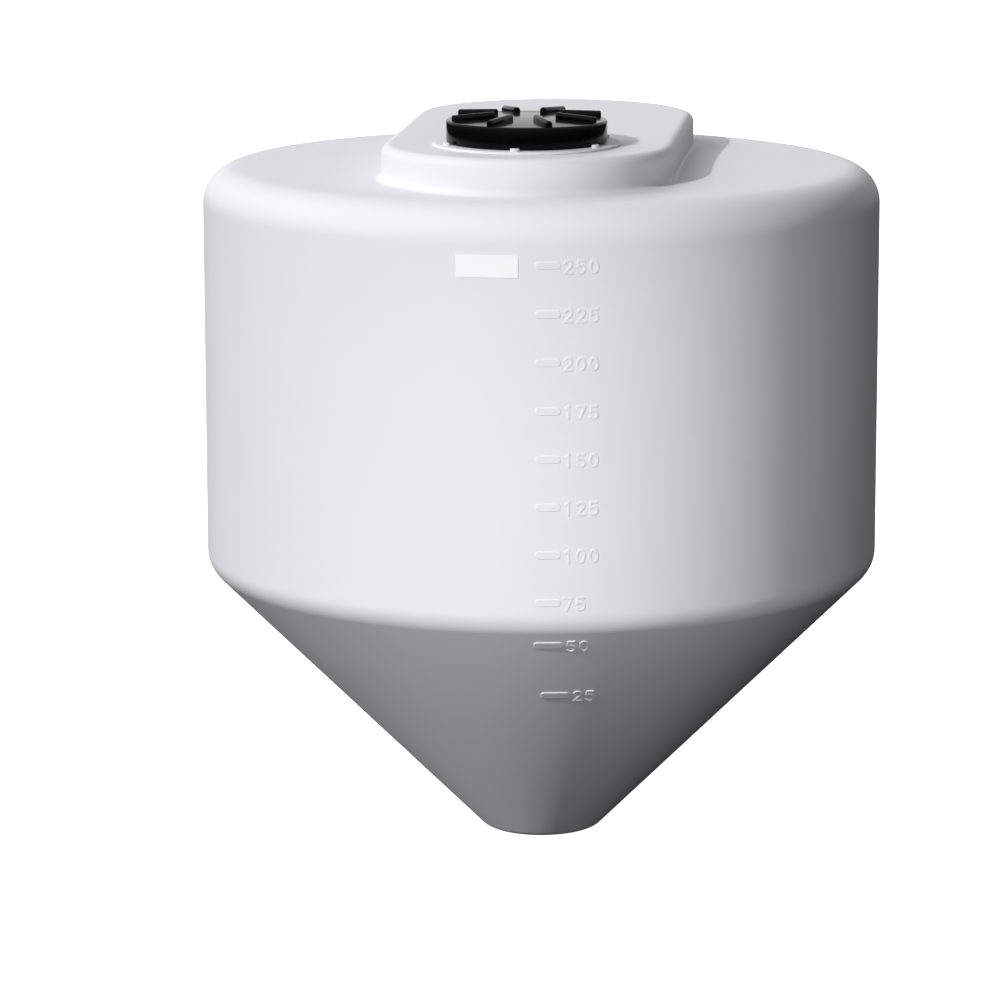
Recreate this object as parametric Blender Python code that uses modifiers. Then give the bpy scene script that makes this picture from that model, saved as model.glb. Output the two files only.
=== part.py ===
"""Cone-bottom storage tank of moulded polyethylene, with a raised deck and a screwed manway lid.

Metres, +Z up. The flat tip of the cone stands on z = 0, the tank's axis is Z, and the manway is on
the side of -Y, which is called the front. Right is +X.
"""

import math

import bmesh
import bpy
from mathutils import Matrix, Vector

# Gaps and fineness of the model
GAP = 0.0003
WELD = 0.00002
FACETS = 64
ARC_STEPS = 4
END_STEPS = 16

# Shell of the tank
RADIUS = 0.6096
WALL = 0.0055
CONE_SLOPE = math.radians(45)
TIP_RADIUS = 0.103
TIP_FILLET = 0.032
TIP_PLATE_RADIUS = 0.0892
KNUCKLE_FILLET = 0.0525
LOWER_JOINT = 0.530
UPPER_JOINT = 1.160
SHOULDER_Z = 1.2245
SHOULDER_FILLET = 0.0645
ROOF_SLOPE = math.radians(2)
ROOF_INNER = 0.18
SIDES = ("front", "front_right", "right", "back_right", "back", "back_left", "left", "front_left")

# Raised deck: a slot-shaped box with half-round ends, open to the tank below
DECK_Z = 1.2911
DECK_HALF_WIDTH = 0.2570
DECK_FRONT = -0.4925
DECK_BACK = 0.5170
DECK_EDGE = 0.0165
DECK_JOINT = DECK_Z - DECK_EDGE
FRONT_CENTRE = DECK_FRONT + DECK_HALF_WIDTH
BACK_CENTRE = DECK_BACK - DECK_HALF_WIDTH
WALL_ROUGH_FOOT = 1.10

# Heights and reach of the cutting shapes, past all that they cut
CUT_LOW = 1.0
CUT_HIGH = 1.5
BEYOND = 1.0

# Manway neck and its ring, on the deck. A lug is half round, with its flat side towards the lid
MANWAY_Y = -0.260
NECK_BORE = 0.1240
NECK_OUTSIDE = 0.1300
NECK_TOP = 1.3236
RING_OUTSIDE = 0.1640
RING_HEIGHT = 0.0044
RING_EDGE = 0.003
LUG_COUNT = 6
LUG_AZIMUTH = math.radians(-2)
LUG_FLAT = 0.1480
LUG_RADIUS = 0.0083
LUG_HEIGHT = 0.0054

# Lid, resting on its gasket
GASKET_INNER = 0.1243
GASKET_OUTER = 0.1312
GASKET_THICKNESS = 0.0060
LID_RADIUS = 0.1405
SKIRT_WALL = 0.0045
SKIRT_BOTTOM = 1.2966
SKIRT_TOP = 1.3352
SKIRT_EDGE = 0.0040
FACE_RISE = 0.0045
RIB_COUNT = 8
RIB_RADIUS = 0.00625
RIB_INNER = 0.0595
RIB_INNER_TOP = 1.3505
RIB_OUTER = 0.1345
RIB_OUTER_TOP = 1.3462
RIB_AZIMUTH = math.radians(22.5)

# Raised volume marks on the front, as gallons and azimuth, and the blank label beside them
GALLON = 0.003785412
MARK_AZIMUTH = math.radians(6.7)
WALL_MARKS = [(gallons, MARK_AZIMUTH) for gallons in (75, 100, 125, 150, 175, 200, 225, 250)]
WALL_BAR = (0.0435, 0.0130)
CONE_MARKS = [(25, math.radians(8.6)), (50, math.radians(6.8))]
CONE_BAR = (0.0475, 0.0184)
MARK_PROUD = 0.0010
MARK_ROOT = 0.0030
LABEL_LEFT = -0.0850
LABEL_RIGHT = 0.0210
LABEL_BOTTOM = 1.1066
LABEL_TOP = 1.1446
LABEL_THICKNESS = 0.0008

# Colours, roughness
SHELL_LOOK = ((0.80, 0.81, 0.84, 1.0), 0.42)
LID_LOOK = ((0.012, 0.012, 0.014, 1.0), 0.45)
GASKET_LOOK = ((0.05, 0.05, 0.05, 1.0), 0.80)
LABEL_LOOK = ((0.88, 0.88, 0.89, 1.0), 0.35)


def clear_scene():
    for item in list(bpy.data.objects):
        bpy.data.objects.remove(item, do_unlink=True)


def new_collection(name, hidden=False):
    collection = bpy.data.collections.new(name)
    bpy.context.scene.collection.children.link(collection)
    collection.hide_render = hidden
    return collection


def dress(piece, look):
    """A Principled BSDF material of the piece's own."""
    colour, roughness = look
    material = bpy.data.materials.new(piece.name)
    material.use_nodes = True
    shader = material.node_tree.nodes["Principled BSDF"]
    shader.inputs["Base Color"].default_value = colour
    shader.inputs["Roughness"].default_value = roughness
    shader.inputs["Metallic"].default_value = 0.0
    material.diffuse_color = colour
    piece.data.materials.clear()
    piece.data.materials.append(material)


def finish(piece, look):
    """Adds the piece to the tank, dressed and shaded smooth up to its sharp edges."""
    TANK.objects.link(piece)
    dress(piece, look)
    piece.data.shade_smooth()
    piece.data.set_sharp_from_angle(angle=math.radians(30))
    return piece


def as_cutter(piece):
    CUTTERS.objects.link(piece)
    piece.hide_render = True
    piece.display_type = "WIRE"
    return piece


def cut(piece, other, operation="DIFFERENCE"):
    modifier = piece.modifiers.new(f"{operation.lower()} {other.name}", "BOOLEAN")
    modifier.operation = operation
    modifier.solver = "EXACT"
    modifier.object = other


def solid(name, shape, at=(0, 0, 0)):
    """An object of its own from a bmesh."""
    mesh = bpy.data.meshes.new(name)
    shape.to_mesh(mesh)
    shape.free()
    piece = bpy.data.objects.new(name, mesh)
    piece.location = at
    return piece


def block(name, low, high):
    """A box between two corners."""
    low, high = Vector(low), Vector(high)
    shape = bmesh.new()
    bmesh.ops.create_cube(shape, size=1)
    bmesh.ops.scale(shape, vec=high - low, verts=shape.verts)
    return solid(name, shape, (low + high) / 2)


def disc(name, radius, low, high, at=(0, 0)):
    """An upright cylinder between two heights."""
    shape = bmesh.new()
    bmesh.ops.create_cone(
        shape, cap_ends=True, segments=FACETS, radius1=radius, radius2=radius, depth=high - low
    )
    return solid(name, shape, (*at, (low + high) / 2))


def turned(name, profile, at=(0, 0)):
    """A ring from a closed profile of (radius, height) points, which runs down its outer side."""
    mesh = bpy.data.meshes.new(name)
    count = len(profile)
    edges = [(i, (i + 1) % count) for i in range(count)]
    mesh.from_pydata([(radius, 0, height) for radius, height in profile], edges, [])
    piece = bpy.data.objects.new(name, mesh)
    piece.location = (*at, 0)
    screw = piece.modifiers.new("turn", "SCREW")
    screw.axis = "Z"
    screw.angle = 2 * math.pi
    screw.steps = FACETS
    screw.render_steps = FACETS
    screw.use_merge_vertices = True
    screw.merge_threshold = WELD
    screw.use_smooth_shade = True
    return piece


def box_profile(inner, outer, low, high):
    """A rectangular profile for a turned ring."""
    return [(outer, high), (outer, low), (inner, low), (inner, high)]


def mesh_of(guide):
    """The mesh object that a curve makes, with its caps welded on. The curve is removed."""
    name = guide.name
    bpy.context.scene.collection.objects.link(guide)
    bpy.context.view_layer.update()
    graph = bpy.context.evaluated_depsgraph_get()
    mesh = bpy.data.meshes.new_from_object(guide.evaluated_get(graph))
    shape = bmesh.new()
    shape.from_mesh(mesh)
    bmesh.ops.remove_doubles(shape, verts=shape.verts, dist=WELD)
    bmesh.ops.recalc_face_normals(shape, faces=shape.faces)
    shape.to_mesh(mesh)
    shape.free()
    piece = bpy.data.objects.new(name, mesh)
    piece.matrix_world = guide.matrix_world
    bpy.data.objects.remove(guide)
    piece.name = name
    return piece


def plate(name, outlines, low, high):
    """A flat plate between two heights. The first outline is its rim, and a second one is a hole."""
    curve = bpy.data.curves.new(name, "CURVE")
    curve.dimensions = "2D"
    curve.fill_mode = "BOTH"
    curve.extrude = (high - low) / 2
    for outline in outlines:
        spline = curve.splines.new("POLY")
        spline.points.add(len(outline) - 1)
        spline.use_cyclic_u = True
        for point, (x, y) in zip(spline.points, outline):
            point.co = (x, y, 0, 1)
    guide = bpy.data.objects.new(name, curve)
    guide.location.z = (low + high) / 2
    return mesh_of(guide)


def rod(name, start, end, radius):
    """A round bar from point to point."""
    curve = bpy.data.curves.new(name, "CURVE")
    curve.dimensions = "3D"
    curve.bevel_depth = radius
    curve.bevel_resolution = 3
    curve.use_fill_caps = True
    spline = curve.splines.new("POLY")
    spline.points.add(1)
    spline.points[0].co = (*start, 1)
    spline.points[1].co = (*end, 1)
    return mesh_of(bpy.data.objects.new(name, curve))


def fillet_arc(before, corner, after, radius):
    """Points of the arc that rounds a profile's corner, from the side of before to the side of after."""
    before, corner, after = Vector(before), Vector(corner), Vector(after)
    arriving = (before - corner).normalized()
    leaving = (after - corner).normalized()
    half = arriving.angle(leaving) / 2
    centre = corner + (arriving + leaving).normalized() * radius / math.sin(half)
    start = corner + arriving * radius / math.tan(half) - centre
    end = corner + leaving * radius / math.tan(half) - centre
    first = math.atan2(start.y, start.x)
    turn = (math.atan2(end.y, end.x) - first + math.pi) % (2 * math.pi) - math.pi
    angles = [first + turn * i / ARC_STEPS for i in range(ARC_STEPS + 1)]
    return [(centre.x + radius * math.cos(a), centre.y + radius * math.sin(a)) for a in angles]


def shell_corners(inset):
    """Sharp corners of the shell's section, inset into the wall, from the middle of the tip to the crown."""
    side = RADIUS - inset
    tip = TIP_RADIUS + inset / math.tan(CONE_SLOPE) - inset / math.sin(CONE_SLOPE)
    knuckle_z = (side - TIP_RADIUS + inset / math.sin(CONE_SLOPE)) * math.tan(CONE_SLOPE)
    shoulder_z = SHOULDER_Z + inset * math.tan(ROOF_SLOPE) - inset / math.cos(ROOF_SLOPE)
    crown_z = shoulder_z + (side - ROOF_INNER) * math.tan(ROOF_SLOPE)
    return (0, inset), (tip, inset), (side, knuckle_z), (side, shoulder_z), (ROOF_INNER, crown_z)


def cone_line(inset):
    """The cone's section at one depth in the wall, from its joint with the side down to the tip plate."""
    middle, tip, knuckle, shoulder, _ = shell_corners(inset)
    return [
        (RADIUS - inset, LOWER_JOINT),
        *fillet_arc(shoulder, knuckle, tip, KNUCKLE_FILLET - inset),
        *fillet_arc(knuckle, tip, middle, TIP_FILLET - inset),
        (TIP_PLATE_RADIUS + GAP, inset),
    ]


def side_line(inset):
    return [(RADIUS - inset, UPPER_JOINT), (RADIUS - inset, LOWER_JOINT + GAP)]


def roof_line(inset):
    """The roof's section, inset into the wall, from under the raised deck over the shoulder to its joint."""
    _, _, knuckle, shoulder, crown = shell_corners(inset)
    return [
        crown,
        *fillet_arc(crown, shoulder, knuckle, SHOULDER_FILLET - inset),
        (RADIUS - inset, UPPER_JOINT + GAP),
    ]


def slot_outline(inset):
    """The raised deck's outline, inset by a distance: two straight sides and two half-round ends."""
    radius = DECK_HALF_WIDTH - inset
    points = []
    for end, centre in ((-1, FRONT_CENTRE), (1, BACK_CENTRE)):
        for i in range(2 * END_STEPS + 1):
            angle = math.pi * i / (2 * END_STEPS)
            x, y = -radius * math.cos(angle), radius * math.sin(angle)
            points.append((end * x, centre + end * y))
    return points


def fill_height(volume):
    """Height of the contents' surface for a volume, from the inside of the cone and of the round side."""
    _, (tip, floor), (side, knuckle_z), _, _ = shell_corners(WALL)
    rise = math.tan(CONE_SLOPE)
    cone_volume = math.pi / 3 * rise * (side**3 - tip**3)
    if volume > cone_volume:
        return knuckle_z + (volume - cone_volume) / (math.pi * side**2)
    surface = (tip**3 + 3 * volume / (math.pi * rise)) ** (1 / 3)
    return floor + (surface - tip) * rise


def wedge(side):
    """Cutter that keeps one eighth of a turned ring, half a gap short of each neighbour."""
    middle = math.radians(-90 + 45 * SIDES.index(side))
    half = math.radians(22.5)
    apex = GAP / 2 / math.sin(half)
    spread = (BEYOND - apex) * math.tan(half)
    towards = Matrix.Rotation(middle, 2)
    corners = (apex, 0), (BEYOND, -spread), (BEYOND, spread)
    outline = [tuple(towards @ Vector(corner)) for corner in corners]
    return as_cutter(plate(f"wedge_{side}", [outline], -BEYOND, CUT_HIGH))


def mark_outline(length, height):
    """A volume mark's outline: a bar with two half-round ends."""
    half = height / 2
    straight = length / 2 - half
    points = []
    for end in (1, -1):
        for i in range(2 * ARC_STEPS + 1):
            angle = -math.pi / 2 + math.pi * i / (2 * ARC_STEPS)
            x, y = straight + half * math.cos(angle), half * math.sin(angle)
            points.append((end * x, end * y))
    return points


def surface_frame(azimuth, height):
    """A place on the shell with X along it to the right, Y up it and Z out of it. Azimuth 0 is the front."""
    knuckle_z = shell_corners(0)[2][1]
    slope = CONE_SLOPE if height < knuckle_z else math.pi / 2
    radius = TIP_RADIUS + height / math.tan(CONE_SLOPE) if height < knuckle_z else RADIUS
    outward = Vector((math.sin(azimuth), -math.cos(azimuth), 0))
    right = Vector((math.cos(azimuth), math.sin(azimuth), 0))
    up = outward * math.cos(slope) + Vector((0, 0, math.sin(slope)))
    rotation = Matrix((right, up, right.cross(up))).transposed().to_4x4()
    return Matrix.Translation(outward * radius + Vector((0, 0, height))) @ rotation


def add_marks(piece, marks, bar):
    """Joins raised marks to a piece of the shell. Each mark's upper edge is at the height of its volume."""
    length, height = bar
    for gallons, azimuth in marks:
        mark = as_cutter(plate(f"mark_{gallons}", [mark_outline(length, height)], -MARK_ROOT, MARK_PROUD))
        frame = surface_frame(azimuth, fill_height(gallons * GALLON))
        mark.matrix_world = frame @ Matrix.Translation((0, -height / 2, 0)) @ mark.matrix_world
        cut(piece, mark, "UNION")


def build_shell():
    """The moulded shell in three rings of eight segments, with the flat plate at the tip."""
    deck_hole = as_cutter(plate("deck_hole", [slot_outline(-GAP)], CUT_LOW, CUT_HIGH))
    lines = {"cone": cone_line, "side": side_line, "roof": roof_line}
    for side in SIDES:
        keep = wedge(side)
        for ring, line in lines.items():
            segment = turned(f"{ring}_{side}", [*line(0), *reversed(line(WALL))])
            cut(segment, keep, "INTERSECT")
            if ring == "roof":
                cut(segment, deck_hole)
            if side == "front" and ring == "cone":
                add_marks(segment, CONE_MARKS, CONE_BAR)
            if side == "front" and ring == "side":
                add_marks(segment, WALL_MARKS, WALL_BAR)
            finish(segment, SHELL_LOOK)
    finish(disc("tip_plate", TIP_PLATE_RADIUS, 0, WALL), SHELL_LOOK)


def rounded_slot(name, inset, low, high, edge):
    """A solid of the deck's outline whose upper rim is rounded."""
    piece = plate(name, [slot_outline(inset)], low, high)
    shape = bmesh.new()
    shape.from_mesh(piece.data)
    bmesh.ops.dissolve_limit(shape, angle_limit=math.radians(1), verts=shape.verts, edges=shape.edges)
    weight = shape.edges.layers.float.new("bevel_weight_edge")
    top = (high - low) / 2 - WELD
    for rim in shape.edges:
        if min(vert.co.z for vert in rim.verts) > top:
            rim[weight] = 1.0
    shape.to_mesh(piece.data)
    shape.free()
    bevel = piece.modifiers.new("rounded rim", "BEVEL")
    bevel.limit_method = "WEIGHT"
    bevel.width = edge
    bevel.segments = ARC_STEPS
    return piece


def build_deck():
    """The raised deck: two top plates with rounded rims, two straight walls and four quarter-round walls."""
    hollow = as_cutter(rounded_slot("deck_hollow", WALL, CUT_LOW, DECK_Z - WALL, DECK_EDGE - WALL))
    neck_hole = as_cutter(disc("neck_hole", NECK_OUTSIDE + GAP, CUT_LOW, CUT_HIGH, (0, MANWAY_Y)))
    for name, sign in (("front", -1), ("back", 1)):
        top = rounded_slot(f"deck_top_{name}", 0, DECK_JOINT + GAP, DECK_Z, DECK_EDGE)
        cut(top, hollow)
        if name == "front":
            cut(top, neck_hole)
        near, far = sorted((sign * GAP / 2, sign * BEYOND))
        cut(top, deck_region(name, (-BEYOND, near), (BEYOND, far)), "INTERSECT")
        finish(top, SHELL_LOOK)

    below_roof = as_cutter(roof_underside())
    front, back = FRONT_CENTRE, BACK_CENTRE
    half = GAP / 2
    regions = {
        "left": ((-BEYOND, front + half), (0, back - half)),
        "right": ((0, front + half), (BEYOND, back - half)),
        "front_left": ((-BEYOND, -BEYOND), (-half, front - half)),
        "front_right": ((half, -BEYOND), (BEYOND, front - half)),
        "back_left": ((-BEYOND, back + half), (-half, BEYOND)),
        "back_right": ((half, back + half), (BEYOND, BEYOND)),
    }
    outlines = slot_outline(0), slot_outline(WALL)
    for name, (start, end) in regions.items():
        wall = plate(f"deck_wall_{name}", outlines, WALL_ROUGH_FOOT, DECK_JOINT)
        cut(wall, deck_region(name, start, end), "INTERSECT")
        cut(wall, below_roof)
        finish(wall, SHELL_LOOK)


def deck_region(name, start, end):
    """Cutter that keeps what lies between two corners of the deck's plan."""
    return as_cutter(block(f"keep_{name}", (*start, CUT_LOW), (*end, CUT_HIGH)))


def roof_underside():
    """Cutter below the roof, so that the deck's walls end level with the roof's inner face."""
    _, _, _, (side, shoulder_z), _ = shell_corners(WALL)
    apex_z = shoulder_z + side * math.tan(ROOF_SLOPE)
    return peaked("roof_underside", (side, 0), (CUT_LOW, shoulder_z, apex_z))


def peaked(name, radii, heights, at=(0, 0)):
    """A cylinder from a low height to a brim, and on it a cone up to a high one with a radius of its own."""
    radius, top_radius = radii
    low, brim, high = heights
    shape = bmesh.new()
    bmesh.ops.create_cone(
        shape, cap_ends=True, segments=FACETS, radius1=radius, radius2=top_radius, depth=high - brim
    )
    bmesh.ops.translate(shape, vec=(0, 0, (brim + high) / 2), verts=shape.verts)
    bottom = [face for face in shape.faces if max(vert.co.z for vert in face.verts) < brim + WELD]
    made = bmesh.ops.extrude_face_region(shape, geom=bottom)["geom"]
    bmesh.ops.delete(shape, geom=bottom, context="FACES_ONLY")
    sunk = [item for item in made if isinstance(item, bmesh.types.BMVert)]
    bmesh.ops.translate(shape, vec=(0, 0, low - brim), verts=sunk)
    bmesh.ops.recalc_face_normals(shape, faces=shape.faces)
    return solid(name, shape, (*at, 0))


def build_manway():
    """The neck that the lid screws onto, the ring round its foot and the lugs on the ring."""
    at = (0, MANWAY_Y)
    foot = DECK_Z + GAP
    crest = foot + RING_HEIGHT
    neck = box_profile(NECK_BORE, NECK_OUTSIDE, DECK_Z - WALL, NECK_TOP)
    finish(turned("manway_neck", neck, at), SHELL_LOOK)

    bore = NECK_OUTSIDE + GAP
    rim = fillet_arc((bore, crest), (RING_OUTSIDE, crest), (RING_OUTSIDE, foot), RING_EDGE)
    ring = [(bore, crest), *rim, (RING_OUTSIDE, foot), (bore, foot)]
    finish(turned("manway_ring", ring, at), SHELL_LOOK)
    for number in range(LUG_COUNT):
        lug = plate(f"ring_lug_{number + 1}", [lug_outline()], crest + GAP, crest + LUG_HEIGHT)
        turn = Matrix.Rotation(LUG_AZIMUTH + 2 * math.pi * number / LUG_COUNT, 4, "Z")
        lug.matrix_world = Matrix.Translation((*at, 0)) @ turn @ lug.matrix_world
        finish(lug, SHELL_LOOK)


def lug_outline():
    """The outline of the ring's front lug, seen from above and from the ring's middle: a half disc."""
    angles = [-math.pi + math.pi * i / (2 * ARC_STEPS) for i in range(2 * ARC_STEPS + 1)]
    return [(LUG_RADIUS * math.cos(a), LUG_RADIUS * math.sin(a) - LUG_FLAT) for a in angles]


def build_lid():
    """The gasket on the neck's rim, and the ribbed lid that rests on it."""
    at = (0, MANWAY_Y)
    low = NECK_TOP + GAP
    high = low + GASKET_THICKNESS
    finish(turned("lid_gasket", box_profile(GASKET_INNER, GASKET_OUTER, low, high), at), GASKET_LOOK)

    inside = LID_RADIUS - SKIRT_WALL
    rim = fillet_arc((inside, SKIRT_TOP), (LID_RADIUS, SKIRT_TOP), (LID_RADIUS, SKIRT_BOTTOM), SKIRT_EDGE)
    skirt = [(inside, SKIRT_TOP), *rim, (LID_RADIUS, SKIRT_BOTTOM), (inside, SKIRT_BOTTOM)]
    finish(turned("lid_skirt", skirt, at), LID_LOOK)

    heights = (high + GAP, SKIRT_TOP, SKIRT_TOP + FACE_RISE)
    lid = peaked("lid_disc", (inside - GAP, RIB_INNER), heights, at)
    for number in range(RIB_COUNT):
        azimuth = RIB_AZIMUTH + 2 * math.pi * number / RIB_COUNT
        along = Vector((math.sin(azimuth), -math.cos(azimuth), 0))
        inner = Vector((*at, RIB_INNER_TOP - RIB_RADIUS)) + along * RIB_INNER
        outer = Vector((*at, RIB_OUTER_TOP - RIB_RADIUS)) + along * RIB_OUTER
        cut(lid, as_cutter(rod(f"rib_{number}", inner, outer, RIB_RADIUS)), "UNION")
    finish(lid, LID_LOOK)


def build_label():
    """The blank label, a thin sheet that follows the tank's round side."""
    low, high = RADIUS + GAP, RADIUS + GAP + LABEL_THICKNESS
    label = turned("blank_label", box_profile(low, high, LABEL_BOTTOM, LABEL_TOP))
    keep = block("keep_label", (LABEL_LEFT, -BEYOND, CUT_LOW), (LABEL_RIGHT, 0, CUT_HIGH))
    cut(label, as_cutter(keep), "INTERSECT")
    finish(label, LABEL_LOOK)


clear_scene()
TANK = new_collection("cone_bottom_tank")
CUTTERS = new_collection("cutters", hidden=True)
build_shell()
build_deck()
build_manway()
build_lid()
build_label()
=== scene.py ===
"""Looks of the cone-bottom storage tank: a smooth moulded shell, raised volume marks and a ribbed lid.

Metres, +Z up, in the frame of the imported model: the tank's axis is Z and the flat tip of its cone is at
z = 0. The manway is on the side of -Y, the front. Azimuths run from the front towards +X, the right.
"""

import logging
import math
from dataclasses import dataclass, field
from enum import Enum
from typing import Any, Iterable, Sequence

import bmesh
import bpy
from bmesh.types import BMesh
from bpy.types import Light, Material, Node, NodeSocket, NodeTree, Object
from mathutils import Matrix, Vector


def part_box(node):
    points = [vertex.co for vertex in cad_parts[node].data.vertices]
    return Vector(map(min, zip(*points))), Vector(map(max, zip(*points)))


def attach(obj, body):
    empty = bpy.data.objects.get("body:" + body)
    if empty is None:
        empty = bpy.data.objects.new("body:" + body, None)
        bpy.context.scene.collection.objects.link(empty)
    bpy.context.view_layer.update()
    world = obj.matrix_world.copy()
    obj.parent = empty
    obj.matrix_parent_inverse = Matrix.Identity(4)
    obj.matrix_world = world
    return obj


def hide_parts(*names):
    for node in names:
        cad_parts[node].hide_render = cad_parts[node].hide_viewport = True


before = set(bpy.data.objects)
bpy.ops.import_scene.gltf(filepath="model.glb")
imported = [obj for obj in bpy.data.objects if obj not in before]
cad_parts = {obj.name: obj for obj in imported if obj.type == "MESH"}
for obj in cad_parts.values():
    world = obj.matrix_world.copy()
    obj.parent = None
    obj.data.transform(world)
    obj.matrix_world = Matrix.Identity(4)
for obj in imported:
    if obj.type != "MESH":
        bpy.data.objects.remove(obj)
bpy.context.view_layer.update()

LOG = logging.getLogger("tank")
GALLON = 0.003785412
WHITE = (1.0, 1.0, 1.0, 1.0)
SHARP_ANGLE = math.radians(38)

Colour = tuple[float, float, float]
Pair = tuple[float, float]


class Body(Enum):
    """The bodies that move on their own."""

    TANK = "tank"
    GASKET = "gasket"
    LID = "lid"


class Slot(Enum):
    """The material slots."""

    SHELL = "shell"
    LABEL = "label"
    GASKET = "gasket"
    LID = "lid"


class Value:
    """A number that changes over a surface: a socket that takes part in plain expressions."""

    def __init__(self, kit: "NodeKit", socket: NodeSocket) -> None:
        self.kit = kit
        self.socket = socket

    def _math(self, operation: str, first: "Value | float", second: "Value | float") -> "Value":
        """A Math node of two values."""
        node = self.kit.add("ShaderNodeMath", {"operation": operation}, {0: first, 1: second})
        return Value(self.kit, node.outputs[0])

    def __add__(self, other: "Value | float") -> "Value":
        """The sum."""
        return self._math("ADD", self, other)

    def __sub__(self, other: "Value | float") -> "Value":
        """The difference."""
        return self._math("SUBTRACT", self, other)

    def __mul__(self, other: "Value | float") -> "Value":
        """The product."""
        return self._math("MULTIPLY", self, other)

    __radd__ = __add__
    __rmul__ = __mul__


class NodeKit:
    """Adds nodes to one node tree and links them."""

    def __init__(self, tree: NodeTree) -> None:
        """Keeps the tree that the nodes go into."""
        self.tree = tree

    def add(
        self, kind: str, settings: dict[str, Any] | None = None, inputs: dict[Any, Any] | None = None
    ) -> Node:
        """Adds one node.

        Args:
            kind: The node's type.
            settings: Its properties, which are set first.
            inputs: Values or links of its sockets, by name or number.

        Returns:
            The new node.
        """
        node = self.tree.nodes.new(kind)
        for name, setting in (settings or {}).items():
            setattr(node, name, setting)
        self.feed(node, inputs or {})
        return node

    def feed(self, node: Node, inputs: dict[Any, Any]) -> None:
        """Sets or links sockets of a node.

        Args:
            node: The node to feed.
            inputs: Values or links of its sockets, by name or number.
        """
        for key, given in inputs.items():
            source = given.socket if isinstance(given, Value) else given
            if isinstance(source, NodeSocket):
                self.tree.links.new(source, node.inputs[key])
            else:
                node.inputs[key].default_value = source

    def noise(self, size: float, detail: float) -> Value:
        """Soft noise from 0 to 1, fixed to the piece.

        Args:
            size: Metres from one blotch to the next.
            detail: How many finer layers it has.

        Returns:
            The noise.
        """
        place = self.add("ShaderNodeTexCoord").outputs["Object"]
        node = self.add("ShaderNodeTexNoise", {}, {"Vector": place, "Scale": 1 / size, "Detail": detail})
        return Value(self, node.outputs[0])

    def blend(self, share: Value, first: Colour, second: Colour) -> NodeSocket:
        """A colour between two, by a share of the second."""
        inputs = {0: share, 6: (*first, 1.0), 7: (*second, 1.0)}
        return self.add("ShaderNodeMix", {"data_type": "RGBA"}, inputs).outputs[2]

    def bump(self, relief: Value) -> NodeSocket:
        """A normal from a relief in metres."""
        return self.add("ShaderNodeBump", {}, {"Height": relief, "Distance": 1.0}).outputs[0]


@dataclass(frozen=True)
class Finish:
    """What all finishes share: a surface whose colour, roughness and relief vary a little."""

    name: str
    colour: Colour
    cloud_colour: Colour
    cloud_size: float
    roughness: float
    roughness_range: float
    grain_size: float
    grain_depth: float
    wave_size: float
    wave_depth: float
    specular: float = 0.5

    def material(self) -> Material:
        """The finish's material, made once and shared by the pieces that have it."""
        made = bpy.data.materials.get(self.name)
        if made is None:
            made = bpy.data.materials.new(self.name)
            made.use_nodes = True
            self.paint(NodeKit(made.node_tree), made.node_tree.nodes["Principled BSDF"])
        return made

    def paint(self, kit: NodeKit, surface: Node) -> None:
        """Feeds the surface shader.

        Args:
            kit: Adds the nodes.
            surface: The Principled BSDF of the material.
        """
        cloud = kit.noise(self.cloud_size, detail=3.0)
        grain = kit.noise(self.grain_size, detail=2.0)
        wave = kit.noise(self.wave_size, detail=0.0)
        relief = grain * self.grain_depth + wave * self.wave_depth
        inputs = {
            "Base Color": kit.blend(cloud, self.colour, self.cloud_colour),
            "Roughness": self.roughness + (cloud + grain - 1.0) * self.roughness_range,
            "Normal": kit.bump(relief),
            "Specular IOR Level": self.specular,
        }
        kit.feed(surface, inputs)


@dataclass(frozen=True)
class MouldedShell(Finish):
    """Natural white polyethylene with the faint orange peel of its mould."""

    name: str = "moulded_polyethylene"
    colour: Colour = (0.79, 0.80, 0.82)
    cloud_colour: Colour = (0.81, 0.82, 0.85)
    cloud_size: float = 0.25
    roughness: float = 0.46
    roughness_range: float = 0.10
    grain_size: float = 0.006
    grain_depth: float = 0.00005
    wave_size: float = 0.12
    wave_depth: float = 0.00035
    specular: float = 0.12


@dataclass(frozen=True)
class BlackMoulding(Finish):
    """Black moulded plastic of the lid, satin and finely grained."""

    name: str = "black_moulding"
    colour: Colour = (0.0012, 0.0012, 0.0014)
    cloud_colour: Colour = (0.0024, 0.0024, 0.0027)
    cloud_size: float = 0.03
    roughness: float = 0.14
    roughness_range: float = 0.06
    grain_size: float = 0.0016
    grain_depth: float = 0.00002
    wave_size: float = 0.04
    wave_depth: float = 0.00008
    specular: float = 0.10


@dataclass(frozen=True)
class FoamRubber(Finish):
    """Matt black foam of the gasket, with open pores."""

    name: str = "foam_rubber"
    colour: Colour = (0.030, 0.030, 0.031)
    cloud_colour: Colour = (0.060, 0.060, 0.060)
    cloud_size: float = 0.004
    roughness: float = 0.85
    roughness_range: float = 0.15
    grain_size: float = 0.0008
    grain_depth: float = 0.00012
    wave_size: float = 0.01
    wave_depth: float = 0.00010


@dataclass(frozen=True)
class LabelFilm(Finish):
    """Blank white film with a slight gloss, laid over the shell's unevenness."""

    name: str = "label_film"
    colour: Colour = (0.970, 0.970, 0.985)
    cloud_colour: Colour = (0.985, 0.985, 0.995)
    cloud_size: float = 0.05
    roughness: float = 0.34
    roughness_range: float = 0.10
    grain_size: float = 0.004
    grain_depth: float = 0.00002
    wave_size: float = 0.03
    wave_depth: float = 0.00008


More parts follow.
